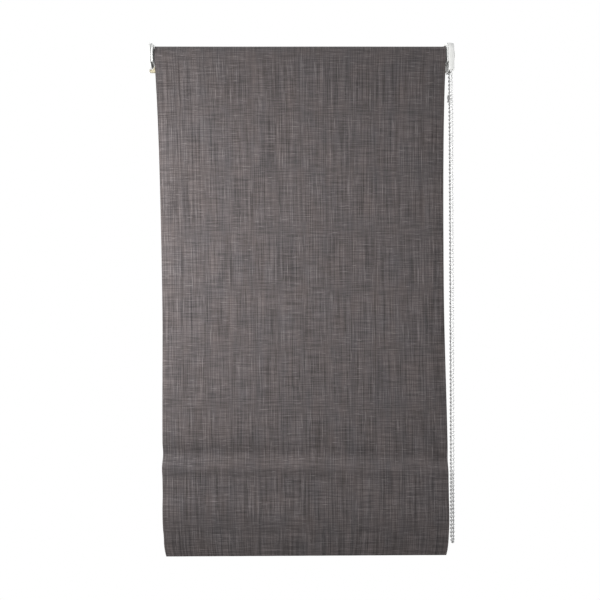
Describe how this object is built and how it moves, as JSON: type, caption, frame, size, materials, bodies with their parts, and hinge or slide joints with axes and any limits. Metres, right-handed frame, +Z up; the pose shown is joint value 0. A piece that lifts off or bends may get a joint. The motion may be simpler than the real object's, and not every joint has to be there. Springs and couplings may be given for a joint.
{
  "type": "roller blind",
  "caption": "Chain-operated roller blind with woven cloth, wall brackets, a clutch drive unit, a sprung idle end and a hollow bottom bar in a hem pocket.",
  "frame": {"origin": "in the wall plane, midway between the two brackets, level with the roller's axis", "axes": "+X along the roller towards the chain, +Y into the wall, +Z up"},
  "size_m": [0.482, 0.058, 0.7965],
  "materials": {
    "cloth": "linen-look crosshatch weave, warm and cool grey slubs",
    "white_plastic": "satin moulded",
    "grey_plastic": "fine moulded",
    "dark_plastic": "fine moulded",
    "chain_plastic": "gloss moulded beads",
    "aluminium": "extruded, brushed along its length",
    "plated_steel": "yellow zinc plated",
    "spring_steel": "drawn wire and turned steel",
    "tape": "matte film"
  },
  "bodies": {
    "wall_fixed": {"mounting_plate_left": "plated_steel", "mounting_plate_right": "plated_steel", "screw_left_lower": "spring_steel", "screw_left_upper": "spring_steel", "screw_right_lower": "spring_steel", "screw_right_upper": "spring_steel", "bracket_left": "white_plastic", "bearing_bush": "grey_plastic", "bracket_cap": "white_plastic", "bracket_right": "white_plastic", "clutch_axle": "white_plastic", "retaining_clip": "spring_steel", "chain_guard": "white_plastic", "guard_cover": "white_plastic", "bead_chain": "chain_plastic", "chain_connector": "chain_plastic", "cloth_sheet": "cloth"},
    "roller": {"roller_tube": "aluminium", "adhesive_strip": "tape", "cloth_roll": "cloth", "idle_plug": "grey_plastic", "plug_cap": "grey_plastic", "pin_spring": "spring_steel", "drive_drum": "grey_plastic"},
    "sprocket": {"drive_sprocket": "white_plastic", "wrap_spring": "spring_steel"},
    "idle_pin": {"idle_pin": "spring_steel"},
    "hem": {"hem_pocket": "cloth", "bottom_bar": "aluminium", "bar_end_left": "dark_plastic", "bar_end_right": "dark_plastic"}
  },
  "joints": [
    {"name": "roller_spin", "type": "hinge", "parent": "wall_fixed", "child": "roller", "pos_m": [0, -0.038, 0], "axis": [-1, 0, 0], "range_deg": [0, 2755]},
    {"name": "sprocket_spin", "type": "hinge", "parent": "wall_fixed", "child": "sprocket", "pos_m": [0.2334, -0.038, 0], "axis": [-1, 0, 0], "range_deg": [0, 2756]},
    {"name": "hem_lift", "type": "slide", "parent": "wall_fixed", "child": "hem", "axis": [0, 0, 1], "range_m": [0, 0.7215], "deforming": ["cloth_sheet"]},
    {"name": "idle_pin_slide", "type": "slide", "parent": "roller", "child": "idle_pin", "axis": [1, 0, 0], "range_m": [0, 0.005], "stiffness_N_per_m": 300, "springref_m": -0.004, "deforming": ["pin_spring"]}
  ],
  "couplings": [
    {"joint": "sprocket_spin", "follows": "roller_spin", "ratio": 1},
    {"joint": "hem_lift", "follows": "roller_spin", "m_per_rad": 0.015}
  ]
}
